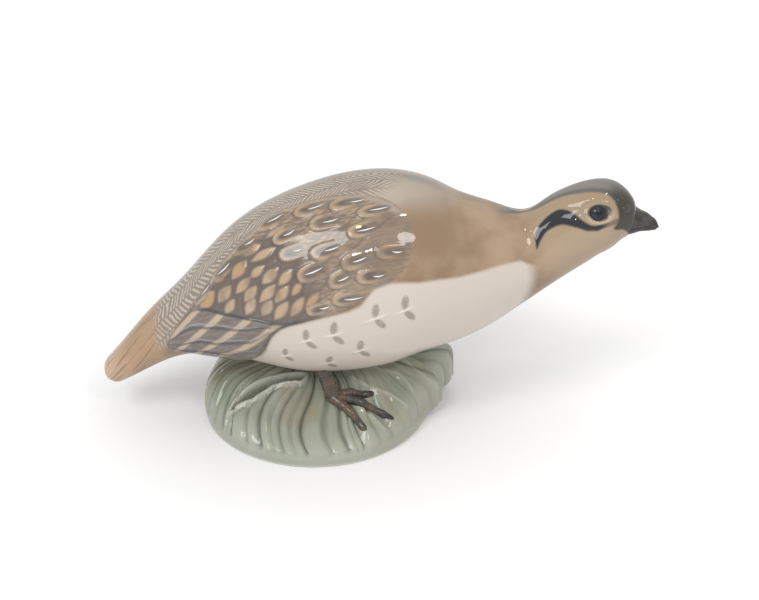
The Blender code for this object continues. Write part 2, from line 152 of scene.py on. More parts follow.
# Upper and front borders of the white breast on the unrolled flank
breast = dict(
    upper=((49.5, -22), (54.5, -14.5), (57.5, -10), (61.2, -4.2), (66, -1.2), (74, -0.9), (82, -0.2),
           (90.2, 0), (94.2, 0.8), (99.2, 5), (104.2, 5.9), (112.2, 5.1), (118.5, 5.5), (128.9, 4.9),
           (138.9, 3.9), (145.4, 3), (149, 0), (156, -2)),
    front=((-60, 136), (-30, 139), (-14, 143), (-7.8, 145.9), (-3.9, 147.7), (-0.2, 148.4), (8, 147)),
)
# Pairs of small leaves on the breast: where they join, and tilt, size and half length of their raised line
leafMarks = dict(
    places=((107.4, -3.2, 15, 1, 4), (97.6, -4.1, 8, 1, 5.6), (83.3, -6.7, 2, 1, 4.2),
            (74.6, -7.3, 8, 0.9, 3.6), (89.8, -15.4, 5, 1, 4), (66, -13, 5, 0.8, 3),
            (78.6, -19.6, 0, 0.9, 3.4)),
    lengths=(4.6, 4.5),
    leans=(64, -60),
    halfWidth=1.15,
)
head = dict(
    cap=((136, 24), (141, 21.4), (147, 19.8), (151.2, 18.9), (154.4, 18), (157.7, 16.6), (160.2, 16),
         (163.7, 15.2), (166.4, 14.2), (169.7, 12.6), (172.7, 11.3), (174.7, 10.1), (176.2, 8.5),
         (177.3, 6.4), (178, 4), (178.2, 2), (177.7, 0.4), (176.9, -0.5), (177.3, -1.2), (179.4, -1.5),
         (190, -1.6), (190, 36), (136, 36)),
    stripe=((152.2, 5.6), (153.2, 8.1), (155.4, 9.8), (158.4, 10.7), (161.7, 11), (163.9, 10.5), (165.7, 8.8),
            (166.9, 7), (167.9, 5), (169.2, 2.9), (170.9, 1.4), (173.4, 1.2), (175.7, 1.5), (178.2, 2.1),
            (178.6, 0.7), (176.4, 0.3), (173.9, 0), (171.7, -0.4), (169.9, 0.2), (168.4, 0.9), (166.9, 2.4),
            (164.9, 4.3), (162.9, 5.9), (160.4, 6.8), (157.4, 7), (154.2, 5.8), (152, 4.2)),
    eyeAlong=172.9,
    eyeUp=4.4,
    eyeRadius=3,
    eyeProud=0.8,
    lid=(2.85, 0.8, 0.28),  # distance from the eye's middle, half width and rise
    socket=(2.5, 0.6, 0.3),
    browRidge=(2.1, 2.6, 0.22),
    stripeRise=0.2,
    # Cheek, a flatter place on the neck and two nostrils: place, reach and rise
    swells=((165.3, 4.6, 7.5, 0.8), (150.3, 7.6, 6.5, -0.28), (178.4, 7.6, 1.5, 0.5), (180.4, 5, 1.5, 0.6)),
)


def naturalSpline(knots, values):  # a smooth curve through the values, unbent at its ends
    knots, values = np.asarray(knots, float), np.asarray(values, float)
    gaps, count = np.diff(knots), len(knots)
    matrix, target = np.eye(count), np.zeros_like(values)
    for i in range(1, count - 1):
        matrix[i, i - 1:i + 2] = gaps[i - 1], 2 * (gaps[i - 1] + gaps[i]), gaps[i]
        target[i] = 6 * ((values[i + 1] - values[i]) / gaps[i] - (values[i] - values[i - 1]) / gaps[i - 1])
    bend = np.linalg.solve(matrix, target)

    def read(where):
        where = np.asarray(where, float)
        i = np.clip(np.searchsorted(knots, where) - 1, 0, count - 2)
        gap = gaps[i][..., None]
        right = (where[..., None] - knots[i][..., None]) / gap
        left = 1 - right
        curve = (left**3 - left) * bend[i] + (right**3 - right) * bend[i + 1]
        return left * values[i] + right * values[i + 1] + curve * gap**2 / 6

    return read


def softStep(value):
    value = np.clip(value, 0, 1)
    return value * value * (3 - 2 * value)


def bell(value):  # 1 in the middle, 0 beyond 1 either side
    return np.clip(1 - value * value, 0, 1) ** 2


def closedCurve(points, steps):  # a smooth closed curve through the points
    points = np.asarray(points, float)
    out = []
    for i in range(len(points)):
        before, here, after, beyond = (points[(i + k) % len(points)] for k in (-1, 0, 1, 2))
        for t in np.arange(steps) / steps:
            push = (after - before) * t + (2 * before - 5 * here + 4 * after - beyond) * t**2
            out.append(here + 0.5 * (push + (3 * here - before - 3 * after + beyond) * t**3))
    return np.array(out)


def distanceTo(a, b, x, y):  # from a straight line between two points
    dx, dy = b[0] - a[0], b[1] - a[1]
    t = np.clip(((x - a[0]) * dx + (y - a[1]) * dy) / (dx * dx + dy * dy), 0, 1)
    return np.hypot(x - a[0] - t * dx, y - a[1] - t * dy)


def depthInside(outline, along, height):  # distance from a closed outline, positive inside
    nearest = np.full(along.shape, np.inf)
    inside = np.zeros(along.shape, bool)
    for a, b in zip(outline, np.roll(outline, -1, axis=0)):
        nearest = np.minimum(nearest, distanceTo(a, b, along, height))
        if a[1] != b[1]:
            crosses = (a[1] > height) != (b[1] > height)
            inside ^= crosses & (along < a[0] + (height - a[1]) * (b[0] - a[0]) / (b[1] - a[1]))
    return np.where(inside, nearest, -nearest)


def shown(name, at):  # how far a painted zone shows, 0 to 1
    return math.prod(softStep((at[axis] - start) / reach) for axis, start, reach in zones[name])


def readCurve(table, where):  # a table of place and value, read along straight lines
    places, values = np.transpose(table)
    return np.interp(where, places, values)


def turned(u, v, placeU, placeV, degrees):  # distance along and across a direction through a place
    c, s = math.cos(math.radians(degrees)), math.sin(math.radians(degrees))
    return (u - placeU) * c + (v - placeV) * s, (v - placeV) * c - (u - placeU) * s


spineSteps = np.diff([section[:2] for section in bird["sections"]], axis=0)
spine = np.append(0, np.cumsum(np.linalg.norm(spineSteps, axis=1)))
birdLength = spine[-1]
readSection = naturalSpline(spine, bird["sections"])
wingOutline = closedCurve(wing["outline"], 12)
stripeOutline = closedCurve(head["stripe"], 8)
capOutline = closedCurve(head["cap"], 8)


def girth(along):  # mean radius, which turns an angle into a distance round the flank
    section = readSection(along)
    return (section[..., 2] + section[..., 3]) / 2


def birdSurface(along, around, lift):
    x, z, width, depth, fullness = np.moveaxis(readSection(along), -1, 0)
    before = readSection(np.maximum(along - bird["leanReach"], 0))
    ahead = (readSection(np.minimum(along + bird["leanReach"], birdLength)) - before)[..., :2]
    ahead = ahead / np.linalg.norm(ahead, axis=-1, keepdims=True)
    tailCap = np.clip(1 - along / bird["tailRounding"], 0, 1)
    faceCap = np.clip(1 - (birdLength - along) / bird["faceRounding"], 0, 1)
    cap = np.sqrt(np.clip(1 - np.maximum(tailCap, faceCap) ** 2, 0, 1))
    width, depth = (width + lift) * cap, (depth + lift) * cap
    sideways = width * np.cos(around) * (1 + fullness * np.sin(around))
    upright = depth * np.sin(around)
    return np.stack((x - ahead[..., 1] * upright, sideways, z + ahead[..., 0] * upright), -1)


def layCoverts(u, v):  # overlapping plates, each laid over the one behind it
    height, dark, rim, line = (np.zeros(u.shape) for _ in range(4))
    for rootU, rootV, tipU, tipV, half in sorted(coverts["spots"], key=lambda spot: spot[2]):
        length = math.hypot(tipU - rootU, tipV - rootV)
        s, t = turned(u, v, rootU, rootV, math.degrees(math.atan2(tipV - rootV, tipU - rootU)))
        low, high = -coverts["rootMargin"], length + coverts["tipMargin"]
        share = (s - (low + high) / 2) / ((high - low) / 2)
        broad = half + coverts["sideMargin"]
        q = np.sqrt(np.abs(share) ** 2.6 + np.abs(t / broad) ** 2.6)
        cover = softStep((1 - q) * broad / coverts["softEdge"] + 0.5) * softStep((share + 1) / 0.5)
        inner = np.sqrt((np.abs(s / length * 2 - 1)) ** 2.4 + np.abs(t / half) ** 2.2)
        tipward = softStep((share + 0.55) / 0.9)
        height += cover * (coverts["tipRise"] * softStep((share + 1) / 2) - height)
        dark += cover * (softStep((1.3 - inner) * 1.5) * (0.7 + 0.3 * tipward) - dark)
        rim += cover * (softStep((0.99 - q) * 6) * tipward - rim)
        # A dark line just outside each plate's tip end: a painted shadow of the plate's edge
        outer = bell((q - 1.06) / 0.16) * softStep((share + 0.2) / 0.6)
        line = np.maximum(line * (1 - cover), outer * (1 - cover))
    return height, dark, rim, line


def layLozenges(u, v):  # depth inside the nearest lozenge, and its warmth
    best, warm = np.full(u.shape, -9.0), np.zeros(u.shape)
    for placeU, placeV, half, broad, lean, warmth in lozenges:
        s, t = turned(u, v, placeU, placeV, lean)
        share = np.clip(s / half, -1.3, 1.3)
        inside = broad * (1 - np.abs(share) ** 1.8) - np.abs(t)
        warm = np.where(inside > best, warmth, warm)
        best = np.maximum(best, inside)
    return best, warm


def layLeafMarks(u, v):
    mark, line = np.zeros(u.shape), np.zeros(u.shape)
    for placeU, placeV, tilt, size, reach in leafMarks["places"]:
        for lean, length in zip(leafMarks["leans"], leafMarks["lengths"]):
            s, t = turned(u, v, placeU, placeV, tilt + lean)
            half = length * size / 2
            q = np.hypot((s - half - 0.35) / half, t / (leafMarks["halfWidth"] * size))
            mark = np.maximum(mark, softStep((1.2 - q) * 2.2))
        s, t = turned(u, v, placeU, placeV, tilt)
        # The raised line of each mark, later painted near white as a painted highlight
        line = np.maximum(line, bell((s - 0.3) / reach) * bell((t - 0.012 * s * s) / 0.42))
    return mark, line


def layHead(at):  # relief and painted fields of the head
    u, v = at["u"], at["v"]
    capDepth, stripe = depthInside(capOutline, u, v), depthInside(stripeOutline, u, v)
    du, dv = u - head["eyeAlong"], v - head["eyeUp"]
    gap = np.hypot(np.where(du > 0, du / 1.3, du), dv + 0.12 * du)  # from the eye's middle, longer forward
    lidPlace, lidHalf, lidRise = head["lid"]
    socketPlace, socketEdge, socketSink = head["socket"]
    ridgePlace, ridgeHalf, ridgeRise = head["browRidge"]
    lid = bell((gap - lidPlace) / lidHalf)
    relief = head["stripeRise"] * softStep((stripe + 0.6) / 3.2) + lidRise * lid
    relief -= socketSink * softStep((socketPlace - gap) / socketEdge)
    relief += ridgeRise * bell((capDepth + ridgePlace) / ridgeHalf) * shown("brow", at)
    for placeU, placeV, reach, rise in head["swells"]:
        relief += rise * bell(np.hypot(u - placeU, v - placeV) / reach)
    inCap, onHead = softStep(capDepth + 0.5), shown("cap", at)
    return relief, dict(
        cap=inCap * onHead,
        capEdge=bell((capDepth - 0.8) / 1.8) * onHead,
        lores=inCap * shown("lores", at),
        stripe=softStep(stripe / 0.9 + 0.55) * (1 - 0.45 * shown("stripeEnd", at)),
        lids=lid * softStep((1.2 - dv) / 2.2),
        # a dark line under the upper lid: painted shade where the lid overhangs the eye
        upperLidShade=bell((gap - 2.4) / 0.5) * softStep((dv + 0.8) / 1.6),
        socket=softStep((socketPlace - gap) / 0.5) * (1 - 0.6 * softStep((du - 1.9) / 0.8)),
        # grey at the eye's front corner, a painted reflection
        corner=bell(np.hypot((du - 3) / 1.4, (dv + 0.7) / 1.3)),
    )


def readFeathers(u, v, w, back):  # relief in mm and every painted field, 0 to 1
    depth = depthInside(wingOutline, u, w)
    at = dict(u=u, v=v, w=w, back=back, depth=depth)
    inWing = softStep(depth + 0.5)
    height, dark, rim, line = layCoverts(u, w)
    lozenge, warm = layLozenges(u, w)
    lozenge = np.where(rim + dark > 0.4, -9.0, lozenge)
    top, bottom = readCurve(primaries["top"], u), readCurve(primaries["bottom"], u)
    flight = softStep((top - w) / 0.6 + 0.5) * shown("flight", at) * inWing
    free = (1 - flight) * inWing
    strip = np.clip((top - w) / np.maximum(top - bottom, 0.5), 0, 0.999) * primaries["feathers"]
    inStrip = strip - np.floor(strip)
    lean, leanAlong = primaries["barLean"]
    bar = u - w * (lean + leanAlong * u) + 0.7 * np.floor(strip) - primaries["barStart"]
    relief = height * (1 - flight) + coverts["lozengeRise"] * softStep((lozenge + 0.3) / 1.1) * free
    relief += flight * primaries["rise"] * (1 - softStep((inStrip - 0.66) / 0.3)) * softStep(inStrip / 0.08)
    relief *= softStep(depth / 1.6)
    white = softStep((readCurve(breast["upper"], u) - v) / 1.5 + 0.5) * shown("white", at)
    white *= softStep((readCurve(breast["front"], v) - u) / 5 + 0.5)
    mark, markLine = layLeafMarks(u, v)
    headRelief, headFields = layHead(at)
    shoulderU, shoulderV, shoulderReach = wing["shoulder"]
    underTop = softStep((readCurve(wing["secondariesTop"], u) + 3 - w) / 3)
    zone = dict(
        inWing=inWing,
        dark=dark * free,
        rim=rim * free,
        # the dark line outside each covert's tip end, a painted shadow
        line=line * free,
        lozenge=softStep(lozenge / 0.7 + 0.35) * free,
        lozengeLine=bell((lozenge + 0.75) / 0.75) * free,
        warm=warm,
        secondaries=underTop * shown("secondaries", at) * inWing,
        front=shown("front", at) * inWing,
        flight=flight,
        bar=bar / primaries["barSpacing"],
        edge=flight * bell((inStrip - 0.06) / 0.14),
        # a light line along each flight feather's raised edge, a painted highlight
        edgeLight=flight * bell((inStrip - 0.86) / 0.10) * softStep((strip - 0.5) / 0.4),
        topLine=bell((top - w - 0.2) / 0.9) * inWing * shown("topLine", at),
        border=bell((depth - 0.2) / 0.8) * shown("border", at),
        ridge=shown("ridge", at) * softStep((w - 8 - 16 * shown("ridgeFront", at)) / 5),
        shoulder=bell(np.hypot(u - shoulderU, v - shoulderV) / shoulderReach),
        white=white * (1 - inWing * shown("whiteUnderWing", at)),
        mark=mark * white,
        markLine=markLine * white,
        tail=softStep((34 - u - 0.35 * back) / 7),
        # the paint over the upper back, lighter than the tan and spreading up the back: part its own tone,
        # part a painted sheen
        mantle=shown("mantle", at) * (1 - inWing),
        greyTop=shown("greyTop", at),
        herring=shown("herring", at) * softStep((114 - u - 0.6 * back) / 8) * (1 - inWing),
        **headFields,
    )
    return relief + headRelief + 0.2 * zone["markLine"], zone


def wingRise(u, w):
    edge = softStep(depthInside(wingOutline, u, w) / wing["edge"])
    return wing["rise"] * edge * (1 - softStep((u - wing["fadeFrom"]) / (wing["fadeTo"] - wing["fadeFrom"])))


def dressBird(along, around, lift=0.0):  # points of the finished bird and its painted fields
    radius = girth(along)
    v = np.arctan2(np.sin(around), np.abs(np.cos(around))) * radius
    back = quarter * radius - v
    far = softStep(v / wing["farFrom"]) * (np.cos(around) > 0)
    w = v + wing["farDrop"] * far
    relief, zone = readFeathers(along, v, w, back)
    zone["along"], zone["up"], zone["back"] = along, w, back
    return birdSurface(along, around, wingRise(along, w) + relief + lift), zone


def putInScene(name, data):
    thing = bpy.data.objects.new(name, data)
    bpy.context.scene.collection.objects.link(thing)
    return thing


def addMesh(name, points, faces, material, fields):
    mesh = bpy.data.meshes.new(name)
    mesh.from_pydata(((points + np.array(bird["shift"])) * mm).tolist(), [], faces)
    for field, values in fields.items():
        mesh.attributes.new(field, "FLOAT", "POINT").data.foreach_set("value", np.asarray(values, np.float32))
    work = bmesh.new()
    work.from_mesh(mesh)
    bmesh.ops.recalc_face_normals(work, faces=work.faces)
    work.to_mesh(mesh)
    work.free()
    mesh.shade_smooth()
    mesh.materials.append(material)
    piece = putInScene(name, mesh)
    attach(piece, "root")
    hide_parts("quail_figurine")
    print("made", name, len(mesh.polygons), "faces")
    return piece


def tubeFaces(rows, lines, offset=0):  # quads of a closed grid and the two fans that end it
    i = np.arange(rows - 1)[:, None] * lines + np.arange(lines) + offset
    j = np.arange(rows - 1)[:, None] * lines + (np.arange(lines) + 1) % lines + offset
    faces = np.stack((i, j, j + lines, i + lines), -1).reshape(-1, 4).tolist()
    start, end, last = offset + rows * lines, offset + rows * lines + 1, offset + (rows - 1) * lines
    for k in range(lines):
        n = (k + 1) % lines
        faces.append((start, offset + n, offset + k))
        faces.append((end, last + k, last + n))
    return faces


def makeBirdPart(name, grid, material):  # the body with the tail, or the head
    turn = np.linspace(0, quarter, bird["capRows"])[1:]
    rows = [np.linspace(low, high, round((high - low) / step) + 1) for low, high, step in grid["zones"]]
    isHead = rows[0][0] > birdLength / 2
    if isHead:
        rows = [rows[0][rows[0] < birdLength - bird["faceRounding"]]]
        rows.append((birdLength - bird["faceRounding"] * (1 - np.cos(turn)))[::-1])
    else:
        rows.append(bird["tailRounding"] * (1 - np.cos(turn)))
    rows = np.unique(np.concatenate(rows).round(6))
    low, high = bird["wingAngles"]
    near, far, top, belly = grid["steps"]
    around = (np.arange(low, high, far), np.arange(high, 180 - high, top),
              180 - np.arange(low, high, near)[::-1], np.arange(180 - low + belly, 360 + low, belly))
    around = np.radians(np.concatenate(around))
    along, angles = np.meshgrid(rows, around, indexing="ij")
    beyond = bird["neck"] - along if isHead else along - bird["neck"]
    tuck = bird["tuck"] * (1 - 2 * softStep(beyond / 2 + 0.5))
    points, zone = dressBird(along, angles, np.minimum(tuck, 0))
    ends, endZone = dressBird(rows[[0, -1]] if isHead else np.array([0.0, rows[-1]]), np.zeros(2))
    hidden = 0 if isHead else -1
    ends[hidden] = points[hidden].mean(axis=0)
    points = np.concatenate((points.reshape(-1, 3), ends))
    fields = {field: np.concatenate((values.ravel(), endZone[field])) for field, values in zone.items()}
    return addMesh(name, points, tubeFaces(len(rows), len(around)), material, fields)


# Shafts of the coverts: shares of the spot's length, which vary from one to the next, and widths in mm
shafts = dict(
    rows=17, lines=9, start=0.15, startVaries=0.08, reach=0.6, reachVaries=0.14,
    halfWidth=0.36, bow=0.3, shiftVaries=0.2, rise=0.3, sink=0.03,
)


def makeShafts(material):  # fine raised shafts on the coverts, which catch the light; their crests are also painted near white as a painted highlight
    rows, lines = shafts["rows"], shafts["lines"]
    along, across = np.meshgrid(np.linspace(0, 1, rows), np.linspace(-1, 1, lines), indexing="ij")
    bow = np.sin(math.pi * along)
    side = shafts["halfWidth"] * across * np.sin(math.pi * (0.06 + 0.88 * along)) + shafts["bow"] * bow
    lift = shafts["rise"] * bell(across * 0.98) * bow**0.6 - shafts["sink"]
    points, faces = [], []
    for number, (rootU, rootV, tipU, tipV, _) in enumerate(coverts["spots"]):
        start = shafts["start"] + shafts["startVaries"] * math.sin(number)
        s = start + (shafts["reach"] + shafts["reachVaries"] * math.sin(2.3 * number)) * along
        t = (side + shafts["shiftVaries"] * math.sin(1.7 * number)) / math.hypot(tipU - rootU, tipV - rootV)
        u = rootU + (tipU - rootU) * s - (tipV - rootV) * t
        w = rootV + (tipV - rootV) * s + (tipU - rootU) * t
        near = w - wing["farDrop"] * softStep(w / (wing["farFrom"] + wing["farDrop"]))
        for angle in (near / girth(u), math.pi - w / girth(u)):
            first = len(points) * rows * lines
            points.append(dressBird(u, angle, lift)[0].reshape(-1, 3))
            i = (np.arange(rows - 1)[:, None] * lines + np.arange(lines - 1)).ravel() + first
            faces += np.stack((i, i + 1, i + lines + 1, i + lines), -1).tolist()
    crest = np.tile((bell(across) * bow**0.4).ravel(), len(points))
    return addMesh("feather_shafts", np.concatenate(points), faces, material, dict(crest=crest))


# Colours of the painted glaze, as red, green and blue in hex. Some stand in for light: painted highlights on
# the flight feathers' edges, the shafts, the breast marks' lines and the mound's lips, a painted sheen in the
# mantle colour, a painted reflection at the eye's corner, painted shade in the mound's creases and under the
# upper lid, and the line colour, in part a painted shadow under the coverts
paint = dict(
    tan="b0977c", tanDeep="947a61", mantle="bcb1a4", greyTop="84827f", herringGround="908478",
    herringStroke="beb2a3", tailTip="cab198", rim="b69f87", spot="625953", line="5c524c",
    wingGround="8e7e6e", warm="b69473", frontTan="866e56", shaft="eceef0", wingEdge="aca092",
    secondaries="766a61", lozenge="baa58c", flight="867c75", bar="beab94", flightLine="4c4e56",
    edgeLight="b6b8c0", breast="d4c8bd", mark="9c9186", markLine="f6f1eb", cap="84817b", lores="424039",
    stripe="2c2d31", brow="a69279", throat="b09a82", tail="b09275", tailStreak="8f735a", socket="3c3836",
    lid="beac94", corner="969084", bill="3a3834", billPale="5c5750", iris="121722", irisRing="262c38",
    moundLight="9ea192", moundGreen="8a907d", moundDeep="485040", moundWarm="988f7e", moundRim="b4b6a9",
    moundLip="c2c1b4", leg="484340", legWarm="645444", legPale="686670", claw="342f2d", bisque="e2ddd4",
)


def linear(name):
    channels = [int(paint[name][i:i + 2], 16) / 255 for i in (0, 2, 4)]
    return tuple(c / 12.92 if c <= 0.04045 else ((c + 0.055) / 1.055) ** 2.4 for c in channels) + (1.0,)


def addNode(tree, kind, *values, **settings):  # a node with its first inputs set or linked
    made = tree.nodes.new("ShaderNode" + kind)
    for name, value in settings.items():
        setattr(made, name, value)
    for socket, value in zip(made.inputs, values):
        if isinstance(value, bpy.types.NodeSocket):
            tree.links.new(value, socket)
        elif value is not None:
            socket.default_value = value
    return made


class Sheet:  # one node material, with a short call for each kind of node
    def __init__(self, name, roughness=0.04):
        self.material = bpy.data.materials.new(name)
        self.material.use_nodes = True
        self.tree = self.material.node_tree
        self.shader = self.tree.nodes["Principled BSDF"]
        self.shader.inputs["Roughness"].default_value = roughness
        self.shader.inputs["IOR"].default_value = 1.5

    def field(self, name):
        return addNode(self.tree, "Attribute", attribute_name=name).outputs["Fac"]

    def sum(self, kind, a, b=None, c=None):
        return addNode(self.tree, "Math", a, b, c, operation=kind).outputs[0]

    def times(self, *factors):
        product = factors[0]
        for factor in factors[1:]:
            product = self.sum("MULTIPLY", product, factor)
        return product

    def ramp(self, value, low, high, start=0.0, end=1.0):
        values = value, low, high, start, end
        return addNode(self.tree, "MapRange", *values, interpolation_type="SMOOTHSTEP").outputs[0]

    def mix(self, share, a, b):
        a, b = (linear(colour) if isinstance(colour, str) else colour for colour in (a, b))
        return addNode(self.tree, "Mix", share, *[None] * 5, a, b, data_type="RGBA").outputs[2]

    def coats(self, colour, *layers):  # painted fields laid over a colour in turn: field, strength and paint
        for field, strength, over in layers:
            colour = self.mix(self.times(self.field(field), strength), colour, over)
        return colour

    def vector(self, x, y):
        return addNode(self.tree, "CombineXYZ", x, y).outputs[0]

    def noise(self, scale, detail=2.0, vector=None):
        if vector is None:
            vector = addNode(self.tree, "TexCoord").outputs["Object"]
        return addNode(self.tree, "TexNoise", vector, None, scale, detail).outputs["Fac"]

    def bump(self, scale, distance):  # the slight swell of a fired glaze
        made = addNode(self.tree, "Bump", 1.0, distance)
        self.tree.links.new(self.noise(scale, 0.0), made.inputs["Height"])
        self.tree.links.new(made.outputs[0], self.shader.inputs["Normal"])

    def finish(self, colour):
        self.tree.links.new(colour, self.shader.inputs["Base Color"])
        return self.material


# Rows of slanting brush strokes over the rump and back: row height, stroke spacing and slope, in mm
strokes = dict(row=4.8, spacing=1.5, wander=4, slopeRump=0.3, slopeTop=0.95)


def herringbone(sheet, along, back):
    do, noise, ramp, times = sheet.sum, sheet.noise, sheet.ramp, sheet.times
    wander = do("SUBTRACT", noise(230), 0.5)
    drift = do("SUBTRACT", noise(60), 0.5)
    level = do("MULTIPLY_ADD", drift, strokes["wander"], back)
    level = do("DIVIDE", do("ADD", level, times(wander, 1.2)), strokes["row"])
    row = do("FLOOR", level)
    inRow = do("SUBTRACT", do("SUBTRACT", level, row), 0.5)
    sign = do("MULTIPLY_ADD", do("PINGPONG", row, 1), 2, -1)
    slope = ramp(along, 26, 66, strokes["slopeRump"], strokes["slopeTop"])
    shear = times(sign, slope, inRow, strokes["row"])
    phase = do("ADD", do("ADD", along, shear), times(wander, 2.6))
    phase = do("ADD", do("DIVIDE", phase, strokes["spacing"]), times(row, 0.37))
    stroke = ramp(do("PINGPONG", phase, 0.5), 0.20, 0.38)
    ends = ramp(do("ABSOLUTE", inRow), 0.40, 0.5, 1, 0)
    return times(stroke, ends, ramp(noise(150), 0.25, 0.45, 0.35, 1))


def wingPaint(sheet, along, up, cloud):
    do, noise, ramp, mix, field = sheet.sum, sheet.noise, sheet.ramp, sheet.mix, sheet.field
    barb = noise(1, 3, sheet.vector(sheet.times(along, 0.30), sheet.times(up, 1.1)))
    patchy = noise(170)  # the painter's uneven brushwork
    frontGround = mix(ramp(cloud, 0.35, 0.6), "frontTan", "wingGround")
    rim = mix(ramp(noise(45), 0.5, 0.66, 0, 0.8), "rim", "warm")
    ground = sheet.coats(
        mix(ramp(barb, 0.38, 0.62), "wingGround", "rim"),
        ("front", 0.75, frontGround),
        ("secondaries", 1, "secondaries"),
        ("lozengeLine", 0.45, "line"),
        ("lozenge", 1, mix(field("warm"), "lozenge", "warm")),
        # the painted shadow under each covert's tip end
        ("line", 0.6, "line"),
        ("rim", ramp(patchy, 0.3, 0.55, 0.45, 0.95), rim),
        ("dark", ramp(barb, 0.3, 0.7, 1, 0.7), "spot"),
    )
    blotch = ramp(noise(120), 0.5, 0.66, 0, 0.5)
    blotch = sheet.times(blotch, ramp(field("flight"), 0, 1, 1, 0))
    ground = mix(blotch, ground, "secondaries")
    bar = do("PINGPONG", do("SUBTRACT", field("bar"), 0.5), 0.5)
    half = 0.5 - primaries["barHalf"]
    bar = ramp(do("MULTIPLY_ADD", barb, 0.12, bar), half - 0.01, half + 0.11)
    flight = mix(bar, mix(ramp(barb, 0.35, 0.65), "flight", "secondaries"), "bar")
    # the light line along each feather's edge is a painted highlight
    flight = sheet.coats(flight, ("edge", 0.7, "flightLine"), ("edgeLight", 0.5, "edgeLight"))
    return sheet.coats(
        ground,
        ("flight", 1, flight),
        ("topLine", 0.85, "flightLine"),
        ("ridge", ramp(field("dark"), 0, 0.6, 0.8, 0.25), "wingEdge"),
        ("border", 0.4, "line"),
    )


def headPaint(sheet, colour, along, up):
    face = sheet.mix(sheet.ramp(up, 1, 7), "throat", "brow")
    return sheet.coats(
        sheet.mix(sheet.ramp(along, 148, 158, 0, 0.8), colour, face),
        ("lids", 0.9, "lid"),
        ("stripe", 1, "stripe"),
        ("cap", 1, sheet.coats("cap", ("capEdge", 0.5, "lores"), ("lores", 1, "lores"))),
        # the painted reflection at the eye's front corner
        ("corner", 0.7, "corner"),
        ("socket", 1, "socket"),
        # painted shade under the upper lid
        ("upperLidShade", 0.85, "stripe"),
    )


def plumageMaterial():
    sheet = Sheet("plumageGlaze")
    ramp, mix, noise = sheet.ramp, sheet.mix, sheet.noise
    along, up, back = sheet.field("along"), sheet.field("up"), sheet.field("back")
    cloud = noise(70, 3)
    streak = noise(1, 3, sheet.vector(sheet.times(along, 0.06), sheet.times(back, 0.9)))
    tail = mix(ramp(along, 1, 16, 0.85, 0), "tail", "tailTip")
    colour = sheet.coats(
        mix(ramp(cloud, 0.35, 0.65), "tan", "tanDeep"),
        ("shoulder", 0.9, "tanDeep"),
        # the upper back's lighter paint: part its own tone, part a painted sheen
        ("mantle", 0.9, "mantle"),
        ("greyTop", 0.8, "greyTop"),
        ("herring", 1, mix(herringbone(sheet, along, back), "herringGround", "herringStroke")),
        ("tail", 1, mix(ramp(streak, 0.48, 0.66, 0, 0.8), tail, "tailStreak")),
        ("inWing", 1, wingPaint(sheet, along, up, cloud)),
        ("white", 1, "breast"),
        ("mark", ramp(noise(520, 3), 0.25, 0.5, 0.6, 0.92), "mark"),
        # the marks' raised lines are painted near white: a painted highlight
        ("markLine", 0.8, "markLine"),
    )
    sheet.bump(90, 0.00008)
    return sheet.finish(headPaint(sheet, colour, along, up))


def shaftMaterial():
    sheet = Sheet("shaftGlaze", 0.12)
    # The shafts' crests are painted near white: a painted highlight on the raised shafts
    return sheet.finish(sheet.mix(sheet.ramp(sheet.field("crest"), 0.15, 0.7), "spot", "shaft"))


mound = dict(
    x=-21, offset=4, halfLength=36.6, halfWidth=40.15, height=21.5, plinth=5, bulge=0.78,
    fullness=((-90, 1.05), (-50, 1.3), (0, 3), (18, 4.6), (50, 2.6), (90, 1.25), (180, 2.2),
              (225, 1.5)),
    leaves=((18, 11, 20), (-2, 5.8, 11), (50, 3.5, 16)),
    blades=24, rings=115, rise=0.95, riseAtRim=0.8, uneven=0.3, pitch=2.4,
    swirl=math.radians(30), bend=math.radians(5),
    profile=(-0.6, 1, 0.35), split=(1.62, 0.42, 0.75), linesInBlade=25, smooth=(-28, 48, 0.85),
    fold=((-146, 0.95), (-148.5, 0.87), (-149, 0.8), (-149, 0.68), (-146, 0.55), (-138, 0.43),
          (-124, 0.34), (-104, 0.27), (-107, 0.37), (-116, 0.42), (-123, 0.47), (-132, 0.55),
          (-134.5, 0.63), (-138.5, 0.75), (-142.5, 0.85)),
    foldLip=1, foldRise=1.2, foldDepth=2.2,
    veins=(((-2, 0.66), (-5, 0.78), (-7, 0.87), (-7, 0.95), (-5, 0.99)),
           ((-42, 0.45), (-36, 0.66), (-31, 0.82), (-28, 0.95)),
           ((-20, 0.5), (-17, 0.68), (-16, 0.82), (-18, 0.94)),
           ((-66, 0.5), (-56, 0.7), (-50, 0.84), (-48, 0.95))),
    veinReach=1.5, veinRise=0.42,
    lobes=((-58, 0.93, 3.6, 0.9), (-41, 0.93, 3, 0.7), (-12, 0.74, 2.6, 0.5)),
    footRing=6, recess=2.5, vent=1.8, ventDepth=4,
)


def turnFrom(direction, degrees):  # from a direction to another, -180 to 180 degrees
    return (np.degrees(direction) - degrees + 180) % 360 - 180


def readAround(table, direction):
    table = np.array(sorted((angle % 360, value) for angle, value in table))
    angles, values = np.concatenate((table[-1:] - (360, 0), table, table[:1] + (360, 0))).T
    degrees = np.degrees(direction) % 360
    i = np.clip(np.searchsorted(angles, degrees) - 1, 0, len(angles) - 2)
    share = softStep((degrees - angles[i]) / (angles[i + 1] - angles[i]))
    return values[i] + (values[i + 1] - values[i]) * share


def footRadius(direction):
    across, behind = np.cos(direction) / mound["halfLength"], np.sin(direction) / mound["halfWidth"]
    offset = mound["offset"] / mound["halfWidth"]
    steepness = across**2 + behind**2
    return (behind * offset + np.sqrt((behind * offset) ** 2 + steepness * (1 - offset**2))) / steepness


